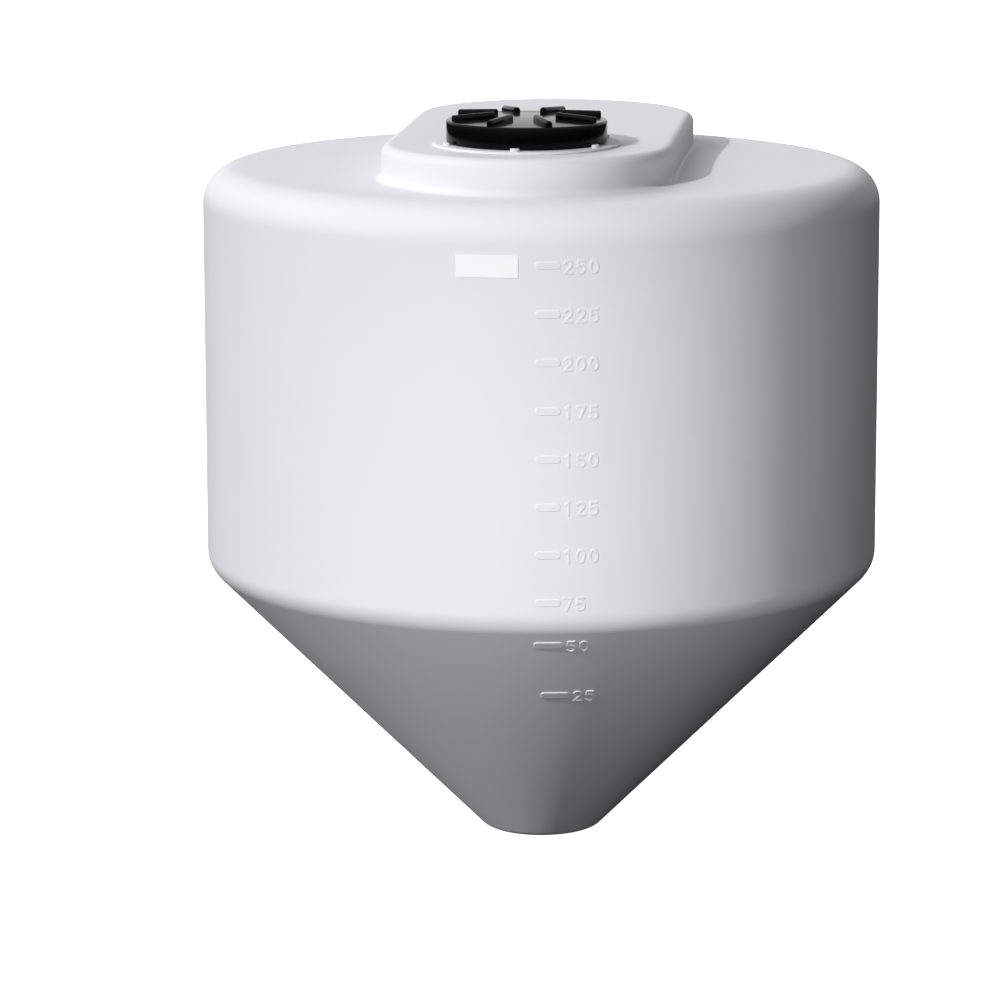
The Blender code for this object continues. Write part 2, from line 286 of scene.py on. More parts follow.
@dataclass(frozen=True)
class StudioFloor(Finish):
    """Plain white paper that glows a little, so that it stays as pale as the background."""

    name: str = "studio_floor"
    colour: Colour = (0.86, 0.86, 0.86)
    cloud_colour: Colour = (0.88, 0.88, 0.88)
    cloud_size: float = 1.5
    roughness: float = 0.85
    roughness_range: float = 0.10
    grain_size: float = 0.01
    grain_depth: float = 0.00005
    wave_size: float = 0.5
    wave_depth: float = 0.00010
    glow: float = 1.0

    def paint(self, kit: NodeKit, surface: Node) -> None:
        """Feeds the surface shader and adds the glow."""
        super().paint(kit, surface)
        kit.feed(surface, {"Emission Color": WHITE, "Emission Strength": self.glow})


def heading(azimuth: float) -> Vector:
    """The level direction at an azimuth."""
    return Vector((math.sin(azimuth), -math.cos(azimuth), 0.0))


def polar(azimuth: float, reach: float, height: float) -> Vector:
    """The point at a distance from the axis and at a height."""
    return heading(azimuth) * reach + Vector((0, 0, height))


def middle(node: str) -> Vector:
    """The centre of a round CAD node, at height 0."""
    low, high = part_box(node)
    return Vector((0, (low.y + high.y) / 2, 0))


def turns(count: int) -> list[float]:
    """Equally spaced angles of a full turn."""
    return [2 * math.pi * i / count for i in range(count)]


def clamped(share: float) -> float:
    """A share, held between 0 and 1."""
    return min(1.0, max(0.0, share))


def eased(share: float) -> float:
    """A share, held between 0 and 1, which starts and ends softly."""
    share = clamped(share)
    return share * share * (3 - 2 * share)


def quarter(steps: int) -> list[Pair]:
    """Points round a corner of radius 1, as distances from the two sides that meet in it."""
    angles = [math.pi / 2 * i / steps for i in range(steps + 1)]
    return [(1 - math.cos(a), 1 - math.sin(a)) for a in angles]


def fillet(before: Pair, corner: Pair, after: Pair, radius: float, steps: int) -> list[Pair]:
    """The arc that rounds a section's corner.

    Args:
        before: A point on the line that arrives at the corner.
        corner: The sharp corner.
        after: A point on the line that leaves it.
        radius: The arc's radius.
        steps: The number of stretches along the arc.

    Returns:
        The arc's points, from the side of before to the side of after.
    """
    arriving = (Vector(before) - Vector(corner)).normalized()
    leaving = (Vector(after) - Vector(corner)).normalized()
    half = arriving.angle(leaving) / 2
    centre = Vector(corner) + (arriving + leaving).normalized() * radius / math.sin(half)
    start = Vector(corner) + arriving * radius / math.tan(half) - centre
    end = Vector(corner) + leaving * radius / math.tan(half) - centre
    first = math.atan2(start.y, start.x)
    turn = (math.atan2(end.y, end.x) - first + math.pi) % (2 * math.pi) - math.pi
    angles = [first + turn * i / steps for i in range(steps + 1)]
    return [(centre.x + radius * math.cos(a), centre.y + radius * math.sin(a)) for a in angles]


def rounded(corners: Sequence[Pair], radii: Sequence[float], steps: int) -> list[Pair]:
    """A closed section whose corners are rounded.

    Args:
        corners: The sharp corners in order.
        radii: The radius at each corner, 0 where it stays sharp.
        steps: The number of stretches along each arc.

    Returns:
        The section's points in order.
    """
    points: list[Pair] = []
    for i, (corner, radius) in enumerate(zip(corners, radii)):
        if radius:
            points += fillet(corners[i - 1], corner, corners[(i + 1) % len(corners)], radius, steps)
        else:
            points.append(corner)
    return points


def bridge(shape: BMesh, first: Sequence[Any], second: Sequence[Any]) -> None:
    """Joins two rings of vertices with faces. Either may be a single vertex.

    Args:
        shape: The mesh that holds the vertices.
        first: The ring that comes first on the way outwards and down.
        second: The ring that comes next.
    """
    count = max(len(first), len(second))
    for i in range(count):
        j = (i + 1) % count
        near = first[i % len(first)], first[j % len(first)]
        far = second[i % len(second)], second[j % len(second)]
        shape.faces.new(list(dict.fromkeys((near[0], *far, near[1]))))


def skin(shape: BMesh, rings: Iterable[Sequence[Vector]], closed: bool = False) -> list[list[Any]]:
    """Adds a surface through rings of points.

    Args:
        shape: The mesh to add to.
        rings: The rings in order, outwards and down, each a full round or a single point.
        closed: Whether the last ring is joined to the first.

    Returns:
        The vertices of each ring.
    """
    made = [[shape.verts.new(point) for point in ring] for ring in rings]
    for first, second in zip(made, made[1:] + (made[:1] if closed else [])):
        bridge(shape, first, second)
    return made


def turned(section: Iterable[Pair], centre: Vector, count: int) -> list[list[Vector]]:
    """Rings of a turned shape.

    Args:
        section: Its (radius, height) points.
        centre: A point on its axis, at height 0.
        count: The number of points round it.

    Returns:
        One ring for each point of the section, with a single point where the radius is 0.
    """
    rings = []
    for radius, height in section:
        angles = turns(count) if radius else [0.0]
        rings.append([centre + polar(a, radius, height) for a in angles])
    return rings


def swept(shape: BMesh, sections: Sequence[Sequence[Vector]]) -> None:
    """Adds a closed bar through sections of points, with flat ends.

    Args:
        shape: The mesh to add to.
        sections: The sections in order along the bar.
    """
    made = skin(shape, sections)
    shape.faces.new(made[0])
    shape.faces.new(list(reversed(made[-1])))


def piece(name: str, shape: BMesh, thickness: float = 0.0) -> Object:
    """Makes an object from a mesh, and frees the mesh.

    Args:
        name: The object's name.
        shape: Its mesh. An open surface has its faces towards the outside.
        thickness: How far an open surface is thickened inwards.

    Returns:
        The new object, in the scene.
    """
    if not thickness:
        bmesh.ops.recalc_face_normals(shape, faces=shape.faces)
    mesh = bpy.data.meshes.new(name)
    shape.to_mesh(mesh)
    shape.free()
    made = bpy.data.objects.new(name, mesh)
    bpy.context.scene.collection.objects.link(made)
    if thickness:
        wall = made.modifiers.new("wall", "SOLIDIFY")
        wall.thickness = thickness
        wall.offset = -1.0
        wall.use_even_offset = True
        bpy.context.view_layer.update()
        graph = bpy.context.evaluated_depsgraph_get()
        made.data = bpy.data.meshes.new_from_object(made.evaluated_get(graph))
        made.modifiers.clear()
    return made


def settle(made: Object, body: Body, finish: Finish, nodes: Sequence[str] = ()) -> Object:
    """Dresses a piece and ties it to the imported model.

    Args:
        made: The piece.
        body: The body that it rides on.
        finish: Its finish.
        nodes: The CAD nodes that it stands for.

    Returns:
        The same piece.
    """
    made.data.materials.clear()
    made.data.materials.append(finish.material())
    made.data.shade_smooth()
    made.data.set_sharp_from_angle(angle=SHARP_ANGLE)
    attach(made, body.value)
    if nodes:
        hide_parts(*nodes)
    return made


@dataclass(frozen=True)
class ShellSection:
    """Half section of the turned shell: tip, cone, knuckle, side, shoulder and roof."""

    radius: float = field(default_factory=lambda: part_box("side_back")[1].y)
    wall: float = 0.0055
    cone_slope: float = math.radians(45)
    tip_radius: float = 0.103
    tip_fillet: float = 0.032
    knuckle_fillet: float = 0.0525
    shoulder_height: float = 1.2245
    shoulder_fillet: float = 0.0645
    roof_slope: float = math.radians(2)
    roof_start: float = 0.565
    easing: float = 0.004
    shoulder_steps: int = 18
    knuckle_steps: int = 14
    tip_steps: int = 12

    def corners(self, inset: float) -> tuple[Pair, Pair, Pair, Pair]:
        """Sharp corners of the section, inset into the wall: tip centre, tip, knuckle and shoulder."""
        slope = self.cone_slope
        side = self.radius - inset
        tip = self.tip_radius + inset / math.tan(slope) - inset / math.sin(slope)
        knuckle = (side - self.tip_radius + inset / math.sin(slope)) * math.tan(slope)
        drop = inset / math.cos(self.roof_slope) - inset * math.tan(self.roof_slope)
        return (0.0, inset), (tip, inset), (side, knuckle), (side, self.shoulder_height - drop)

    def shoulder_centre(self) -> Pair:
        """Centre of the shoulder's arc."""
        rise = self.shoulder_fillet * (math.tan(self.roof_slope) - 1 / math.cos(self.roof_slope))
        return self.radius - self.shoulder_fillet, self.shoulder_height + rise

    def roof_height(self, radius: float) -> float:
        """Height of the roof at a radius, on its slope or further out on the shoulder's arc."""
        centre, height = self.shoulder_centre()
        if radius < centre + self.shoulder_fillet * math.sin(self.roof_slope):
            return self.shoulder_height + (self.radius - radius) * math.tan(self.roof_slope)
        return height + math.sqrt(max(0.0, self.shoulder_fillet**2 - (radius - centre) ** 2))

    def below_roof(self) -> list[Pair]:
        """The section from the rounded shoulder down to the middle of the tip.

        Returns:
            Its points, with one a little inside either end of each straight stretch, for flat shading.
        """
        centre, height = self.shoulder_centre()
        steps = self.shoulder_steps
        first = math.acos((self.roof_start - centre) / self.shoulder_fillet)
        angles = [first * (1 - i / steps) for i in range(steps + 1)]
        reach = self.shoulder_fillet
        shoulder = [(centre + reach * math.cos(a), height + reach * math.sin(a)) for a in angles]
        middle, tip, knuckle, corner = self.corners(0.0)
        arcs = [
            shoulder,
            fillet(corner, knuckle, tip, self.knuckle_fillet, self.knuckle_steps),
            fillet(knuckle, tip, middle, self.tip_fillet, self.tip_steps),
        ]
        points: list[Pair] = []
        for arc, following in zip(arcs, [*arcs[1:], [middle]]):
            start, end = Vector(arc[-1]), Vector(following[0])
            ease = (end - start).normalized() * self.easing
            points += [*arc, tuple(start + ease), tuple(end - ease)]
        return [*points, middle]

    def fill_height(self, gallons: float) -> float:
        """Height that the contents reach inside the cone and the round side.

        Args:
            gallons: Their volume in US gallons.

        Returns:
            The height.
        """
        _, (tip, floor), (side, knuckle), _ = self.corners(self.wall)
        volume = gallons * GALLON
        rise = math.tan(self.cone_slope)
        cone_volume = math.pi / 3 * rise * (side**3 - tip**3)
        if volume > cone_volume:
            return knuckle + (volume - cone_volume) / (math.pi * side**2)
        surface = (tip**3 + 3 * volume / (math.pi * rise)) ** (1 / 3)
        return floor + (surface - tip) * rise


@dataclass(frozen=True)
class SkinSpot:
    """A place on the outside of the side or the cone, onto which a flat drawing is bent."""

    section: ShellSection
    azimuth: float
    height: float

    def point(self, across: float, up: float, out: float) -> Vector:
        """A point of the drawing in space.

        Args:
            across: Distance to the right of the spot.
            up: Distance up the surface.
            out: Distance out of the surface.

        Returns:
            The point.
        """
        section = self.section
        slope = math.pi / 2
        radius = section.radius
        if self.height < section.corners(0.0)[2][1]:
            slope = section.cone_slope
            radius = section.tip_radius + self.height / math.tan(slope) + up * math.cos(slope)
        height = self.height + up * math.sin(slope) - out * math.cos(slope)
        reach = radius + out * math.sin(slope)
        return polar(self.azimuth + across / radius, reach, height)


@dataclass
class TankShell:
    """The seamless moulding: deck, roof, shoulder, side, cone and tip in one even wall."""

    section: ShellSection
    finish: Finish = MouldedShell()
    count: int = 256
    deck_edge: float = 0.0165
    front_flare: float = 0.0105
    side_flare: float = 0.0020
    flare_start: float = -0.060
    flare_end: float = 0.100
    crease: tuple[Pair, ...] = ((0.0015, 0.0006), (0.0035, 0.0008), (0.0065, 0.0))
    flat_margin: float = 0.003
    neck_clearance: float = 0.0003
    top_steps: int = 6
    rim_steps: int = 10
    flare_steps: int = 8
    roof_steps: int = 12

    def __post_init__(self) -> None:
        """Reads the deck and the neck from the frame."""
        self.deck_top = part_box("deck_top_front")[1].z
        self.half_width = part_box("deck_wall_right")[1].x
        self.front_centre = -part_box("deck_wall_front_left")[0].y - self.half_width
        self.back_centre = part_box("deck_wall_back_left")[1].y - self.half_width
        self.neck_centre = middle("manway_neck")
        self.neck_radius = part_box("manway_neck")[1].x + self.neck_clearance

    def slot_reach(self, azimuth: float, inset: float) -> float:
        """Distance from the axis to the deck's outline.

        Args:
            azimuth: The direction.
            inset: How far the outline is moved inwards.

        Returns:
            The distance.
        """
        half = self.half_width - inset
        centre = self.front_centre if math.cos(azimuth) > 0 else self.back_centre
        across, along = abs(math.sin(azimuth)), abs(math.cos(azimuth))
        if half * along <= centre * across:
            return half / across
        return centre * along + math.sqrt(half**2 - (centre * across) ** 2)

    def slot_ring(self, inset: float, height: float) -> list[Vector]:
        """A level ring on the deck's outline, inset by a distance."""
        return [polar(a, self.slot_reach(a, inset), height) for a in turns(self.count)]

    def foot_flare(self, azimuth: float) -> float:
        """Radius of the flare at the deck's foot, which fades from the front to the sides.

        Args:
            azimuth: The direction.

        Returns:
            The radius.
        """
        along = self.slot_reach(azimuth, 0.0) * math.cos(azimuth) - self.front_centre
        share = eased((along - self.flare_start) / (self.flare_end - self.flare_start))
        return self.side_flare + (self.front_flare - self.side_flare) * share

    def roof_ring(
        self, out: float, up: float, reach: float = 0.0, rise: float = 0.0, share: float = 0.0
    ) -> list[Vector]:
        """A ring that follows the roof.

        Args:
            out: Its distance outside the deck's outline, as a share of the flare's radius.
            up: Its height above the roof, as a share of the flare's radius.
            reach: How much farther out it is, in metres.
            rise: How much higher it is, in metres.
            share: How far it is on its way from there, 0, to the shoulder, 1.

        Returns:
            The ring's points.
        """
        ring = []
        for azimuth in turns(self.count):
            flare = self.foot_flare(azimuth)
            start = self.slot_reach(azimuth, -out * flare - reach)
            distance = start + (self.section.roof_start - start) * share
            height = self.section.roof_height(distance) + up * flare + rise
            ring.append(polar(azimuth, distance, height))
        return ring

    def deck_rings(self) -> list[list[Vector]]:
        """The deck's rings, from the hole of the neck over the flat top and the rounded rim."""
        edge, top = self.deck_edge, self.deck_top
        hole = [self.neck_centre + polar(a, self.neck_radius, top) for a in turns(self.count)]
        flat = self.slot_ring(edge + self.flat_margin, top)
        shares = [i / self.top_steps for i in range(self.top_steps + 1)]
        rings = [[a.lerp(b, share) for a, b in zip(hole, flat)] for share in shares]
        for drop, inset in quarter(self.rim_steps):
            rings.append(self.slot_ring(edge * inset, top - edge * drop))
        return rings

    def roof_rings(self) -> list[list[Vector]]:
        """The roof's rings, from the deck's wall over the flare and crease at its foot to the shoulder."""
        rings = [self.slot_ring(0.0, self.deck_top - self.deck_edge - self.flat_margin)]
        rings.append(self.roof_ring(0.0, 1.0, rise=self.flat_margin))
        rings += [self.roof_ring(out, up) for out, up in quarter(self.flare_steps)]
        rings += [self.roof_ring(1.0, 0.0, reach, -depth) for reach, depth in self.crease]
        for i in range(1, self.roof_steps):
            share = 1 - (1 - i / self.roof_steps) ** 2
            rings.append(self.roof_ring(1.0, 0.0, self.crease[-1][0], share=share))
        return rings

    def build(self) -> list[Object]:
        """Makes the shell, which stands for all the segments of the CAD model."""
        rings = self.deck_rings() + self.roof_rings()
        rings += turned(self.section.below_roof(), Vector(), self.count)
        shape = bmesh.new()
        skin(shape, rings)
        starts = ("side_", "cone_", "roof_", "deck_", "tip_")
        nodes = [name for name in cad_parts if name.startswith(starts)]
        shell = piece("moulded_shell", shape, self.section.wall)
        return [settle(shell, Body.TANK, self.finish, nodes)]


@dataclass(frozen=True)
class Stroke:
    """A raised line of a drawing: its centre line and half its width."""

    line: tuple[Pair, ...]
    half_width: float

    def depth(self, x: float, y: float) -> float:
        """How far a point is inside the stroke.

        Args:
            x: The point's distance across.
            y: The point's distance up.

        Returns:
            The depth, negative outside.
        """
        nearest = math.inf
        for (ax, ay), (bx, by) in zip(self.line, self.line[1:]):
            dx, dy = bx - ax, by - ay
            share = ((x - ax) * dx + (y - ay) * dy) / (dx * dx + dy * dy)
            share = clamped(share)
            nearest = min(nearest, math.hypot(x - ax - share * dx, y - ay - share * dy))
        return self.half_width - nearest


@dataclass(frozen=True)
class DigitShape:
    """Plain figures for the volume marks, drawn with lines and arcs."""

    width: float = 0.0175
    height: float = 0.0255
    stroke: float = 0.0047
    arc_steps: int = 14

    def arc(self, centre: Pair, reach: Pair, first: float, last: float) -> list[Pair]:
        """An arc of an ellipse in the digit's own unit square.

        Args:
            centre: Its centre.
            reach: Its half axes.
            first: The angle where it starts, in degrees.
            last: The angle where it ends.

        Returns:
            Its points.
        """
        turn = (last - first) / self.arc_steps
        angles = [math.radians(first + turn * i) for i in range(self.arc_steps + 1)]
        return [(centre[0] + reach[0] * math.cos(a), centre[1] + reach[1] * math.sin(a)) for a in angles]

    def line(self, digit: str) -> list[Pair]:
        """The centre line of a digit in a unit square."""
        lines = {
            "0": self.arc((0.5, 0.5), (0.5, 0.5), 90, 450),
            "1": [(0.17, 0.80), (0.55, 1.0), (0.55, 0.0)],
            "2": [*self.arc((0.49, 0.72), (0.45, 0.28), 160, -35), (0.04, 0.0), (1.0, 0.0)],
            "5": [(0.92, 1.0), (0.16, 1.0), (0.08, 0.54), *self.arc((0.46, 0.32), (0.52, 0.32), 125, -145)],
            "7": [(0.0, 1.0), (1.0, 1.0), (0.36, 0.0)],
        }
        return lines[digit]

    def draw(self, digit: str, left: float, middle: float) -> Stroke:
        """Places a digit.

        Args:
            digit: The figure.
            left: Its left edge.
            middle: The height of its middle.

        Returns:
            Its stroke.
        """
        half = self.stroke / 2
        wide, tall = self.width - self.stroke, self.height - self.stroke
        points = [(left + half + x * wide, middle + (y - 0.5) * tall) for x, y in self.line(digit)]
        return Stroke(tuple(points), half)


@dataclass(frozen=True)
class MarkLayout:
    """Sizes of a volume mark: its bar, and the figures to the right of it."""

    bar_length: float = 0.0435
    bar_height: float = 0.0130
    bar_corner: float = 0.0060
    lift: float = 0.0
    gap: float = 0.0037
    rise: float = 0.0040
    proud: float = 0.0010
    digits: DigitShape = DigitShape()
    pitch: float = 0.0218

    def strokes(self, gallons: int) -> list[Stroke]:
        """The bar and figures of one mark, drawn round the height that it marks.

        Args:
            gallons: The number that the mark gives.

        Returns:
            Its strokes.
        """
        reach = self.bar_length / 2 - self.bar_corner
        high = self.lift - self.bar_corner
        low = self.lift - self.bar_height + self.bar_corner
        bar = ((-reach, high), (reach, high), (reach, low), (-reach, low), (-reach, high))
        drawn = [Stroke(bar, self.bar_corner)]
        middle = self.lift + self.rise - self.digits.height / 2
        for place, digit in enumerate(str(gallons)):
            left = self.bar_length / 2 + self.gap + place * self.pitch
            drawn.append(self.digits.draw(digit, left, middle))
        return drawn


@dataclass
class VolumeMarks:
    """Raised bars and figures on the front that say how full the tank is."""

    section: ShellSection
    finish: Finish = MouldedShell()
    side_marks: tuple[int, ...] = (75, 100, 125, 150, 175, 200, 225, 250)
    side_azimuth: float = math.radians(6.7)
    side_layout: MarkLayout = MarkLayout()
    cone_marks: tuple[tuple[int, float], ...] = ((25, math.radians(8.6)), (50, math.radians(6.8)))
    cone_layout: MarkLayout = MarkLayout(
        bar_length=0.0490,
        bar_height=0.0190,
        bar_corner=0.0056,
        lift=0.0042,
        gap=0.0062,
        rise=0.0033,
        proud=0.0020,
        digits=DigitShape(height=0.0340, stroke=0.0036),
    )
    slope_width: float = 0.0016
    root: float = 0.00018
    backing: float = 0.0015
    step: float = 0.0007

    def relief(self, stroke: Stroke, x: float, y: float) -> float:
        """Share of a stroke's full height over a point of the drawing, with soft edges."""
        return eased(stroke.depth(x, y) / self.slope_width + 0.5)

    def patch(self, shape: BMesh, stroke: Stroke, spot: SkinSpot, proud: float) -> None:
        """Adds one stroke's relief, with its foot just below the shell's face.

        Args:
            shape: The mesh to add to.
            stroke: The stroke.
            spot: Where the drawing's origin is on the shell.
            proud: The stroke's full height.
        """
        margin = stroke.half_width + self.slope_width
        lows = [min(point[k] for point in stroke.line) - margin for k in (0, 1)]
        spans = [max(point[k] for point in stroke.line) + margin - lows[k] for k in (0, 1)]
        counts = [math.ceil(span / self.step) for span in spans]
        grid: dict[tuple[int, int], tuple[float, Any]] = {}
        for i in range(counts[0] + 1):
            for j in range(counts[1] + 1):
                x, y = lows[0] + i * self.step, lows[1] + j * self.step
                height = self.relief(stroke, x, y) * proud
                grid[i, j] = height, shape.verts.new(spot.point(x, y, height - self.root))
        for i in range(counts[0]):
            for j in range(counts[1]):
                corners = [grid[i, j], grid[i + 1, j], grid[i + 1, j + 1], grid[i, j + 1]]
                if max(height for height, _ in corners) > 0:
                    shape.faces.new([vert for _, vert in corners])
        bmesh.ops.delete(shape, geom=[v for v in shape.verts if not v.link_faces], context="VERTS")

    def build(self) -> list[Object]:
        """Makes one piece for each mark."""
        marks = [(gallons, self.side_azimuth, self.side_layout) for gallons in self.side_marks]
        marks += [(gallons, azimuth, self.cone_layout) for gallons, azimuth in self.cone_marks]
        made = []
        for gallons, azimuth, layout in marks:
            spot = SkinSpot(self.section, azimuth, self.section.fill_height(gallons))
            shape = bmesh.new()
            for stroke in layout.strokes(gallons):
                self.patch(shape, stroke, spot, layout.proud)
            mark = piece(f"volume_mark_{gallons}", shape, self.backing)
            made.append(settle(mark, Body.TANK, self.finish))
        return made


@dataclass
class BlankLabel:
    """The blank white label, a thin film with round corners that follows the side."""

    section: ShellSection
    finish: Finish = LabelFilm()
    corner: float = 0.0025
    columns: int = 40
    rows: int = 12

    def build(self) -> list[Object]:
        """Makes the label within the bounds of its CAD node."""
        low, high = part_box("blank_label")
        radius = self.section.radius
        left, right = math.asin(low.x / radius), math.asin(high.x / radius)
        spot = SkinSpot(self.section, (left + right) / 2, (low.z + high.z) / 2)
        half_width, half_height = (right - left) / 2 * radius, (high.z - low.z) / 2
        out = -low.y - radius
        shape = bmesh.new()
        grid = []
        for i in range(self.columns + 1):
            x = -half_width * math.cos(math.pi * i / self.columns)
            over = max(0.0, abs(x) - half_width + self.corner)
            top = half_height - self.corner + math.sqrt(self.corner**2 - over**2)
            heights = [top * (2 * j / self.rows - 1) for j in range(self.rows + 1)]
            grid.append([shape.verts.new(spot.point(x, y, out)) for y in heights])
        for first, second in zip(grid, grid[1:]):
            for j in range(self.rows):
                shape.faces.new((first[j], second[j], second[j + 1], first[j + 1]))
        label = piece("label_film", shape, out - TankShell.neck_clearance)
        return [settle(label, Body.TANK, self.finish, ["blank_label"])]


@dataclass(frozen=True)
class Thread:
    """A coarse screw thread: a ridge with sloping flanks that winds round a cylinder."""

    root_radius: float
    crest_radius: float
    start: float
    pitch: float = 0.0085
    turns: float = 2.0
    root_width: float = 0.0048
    crest_width: float = 0.0022
    run_out: float = math.radians(40)
    steps: int = 160

    def wind(self, shape: BMesh, centre: Vector) -> None:
        """Adds the ridge, which sinks into the cylinder at both of its ends.

        Args:
            shape: The mesh to add to.
            centre: A point on the cylinder's axis, at height 0.
        """
        sections = []
        whole = 2 * math.pi * self.turns
        for i in range(self.steps + 1):
            angle = whole * i / self.steps
            share = min(1.0, angle / self.run_out, (whole - angle) / self.run_out)
            crest = self.root_radius + (self.crest_radius - self.root_radius) * share
            rise = self.start + self.pitch * angle / (2 * math.pi)
            outline = (
                (self.root_radius, rise - self.root_width / 2),
                (crest, rise - self.crest_width / 2),
                (crest, rise + self.crest_width / 2),
                (self.root_radius, rise + self.root_width / 2),
            )
            sections.append([centre + polar(angle, radius, height) for radius, height in outline])
        swept(shape, sections)


@dataclass
class Manway:
    """The threaded neck, and the low ring round its foot with six lugs."""

    finish: Finish = MouldedShell()
    count: int = 160
    bore: float = 0.1240
    rim_edge: float = 0.0015
    ring_edge: float = 0.0030
    lug_count: int = 6
    lug_azimuth: float = math.radians(-2)
    lug_flat: float = 0.1480
    lug_radius: float = 0.0083
    lug_root: float = 0.0010
    lug_edge: float = 0.0014
    lug_steps: int = 16
    edge_steps: int = 4
    thread_depth: float = 0.0032
    thread_root: float = 0.0004

    def __post_init__(self) -> None:
        """Reads the neck and the ring from the frame."""
        self.neck_low, self.neck_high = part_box("manway_neck")
        self.ring_low, self.ring_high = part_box("manway_ring")
        self.lug_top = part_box("ring_lug_1")[1].z
        self.centre = middle("manway_neck")

    def neck(self) -> Object:
        """Makes the neck with its thread."""
        outer, low, high = self.neck_high.x, self.neck_low.z, self.neck_high.z
        corners = ((self.bore, high), (outer, high), (outer, low), (self.bore, low))
        section = rounded(corners, (self.rim_edge, self.rim_edge, 0.0, 0.0), 5)
        shape = bmesh.new()
        skin(shape, turned(section, self.centre, self.count), closed=True)
        thread = Thread(outer - self.thread_root, outer + self.thread_depth, self.lug_top)
        thread.wind(shape, self.centre)
        neck = piece("manway_neck_thread", shape)
        return settle(neck, Body.TANK, self.finish, ["manway_neck"])

    def ring(self) -> Object:
        """Makes the ring and its lugs."""
        inner, outer = self.neck_high.x + TankShell.neck_clearance, self.ring_high.x
        low, crest = self.ring_low.z, self.ring_high.z
        corners = ((inner, crest), (outer, crest), (outer, low), (inner, low))
        shape = bmesh.new()
        section = rounded(corners, (0.0, self.ring_edge, 0.0, 0.0), 6)
        skin(shape, turned(section, self.centre, self.count), closed=True)
        for azimuth in turns(self.lug_count):
            self.lug(shape, self.lug_azimuth + azimuth, crest)
        nodes = ["manway_ring", *(f"ring_lug_{i + 1}" for i in range(self.lug_count))]
        return settle(piece("manway_ring_lugs", shape), Body.TANK, self.finish, nodes)

    def lug(self, shape: BMesh, azimuth: float, crest: float) -> None:
        """Adds one lug, half round with its flat side towards the lid.

        Args:
            shape: The mesh to add to.
            azimuth: The lug's direction from the neck.
            crest: Height of the ring's face.
        """
        edge, top = self.lug_edge, self.lug_top
        levels = [(0.0, crest - self.lug_root)]
        levels += [(edge * inset, top - edge * drop) for inset, drop in quarter(self.edge_steps)]
        out = heading(azimuth)
        along = Vector((0, 0, 1)).cross(out)
        sections = []
        for inset, height in levels:
            radius = self.lug_radius - inset
            start = math.asin(inset / radius)
            turn = (math.pi - 2 * start) / self.lug_steps
            angles = [start + turn * i for i in range(self.lug_steps + 1)]
            place = self.centre + polar(azimuth, self.lug_flat, height)
            sections.append([place + (along * math.cos(a) + out * math.sin(a)) * radius for a in angles])
        swept(shape, sections)

    def build(self) -> list[Object]:
        """Makes the neck and the ring."""
        return [self.neck(), self.ring()]


@dataclass
class LidGasket:
    """The foam gasket on the neck's rim."""

    finish: Finish = FoamRubber()
    count: int = 128
    inner: float = 0.1243
    edge: float = 0.0018
    edge_steps: int = 4

    def build(self) -> list[Object]:
        """Makes the gasket within the bounds of its CAD node."""
        low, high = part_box("lid_gasket")
        corners = ((self.inner, high.z), (high.x, high.z), (high.x, low.z), (self.inner, low.z))
        section = rounded(corners, (self.edge,) * 4, self.edge_steps)
        shape = bmesh.new()
        skin(shape, turned(section, middle("lid_gasket"), self.count), closed=True)
        return [settle(piece("foam_gasket", shape), Body.GASKET, self.finish, ["lid_gasket"])]


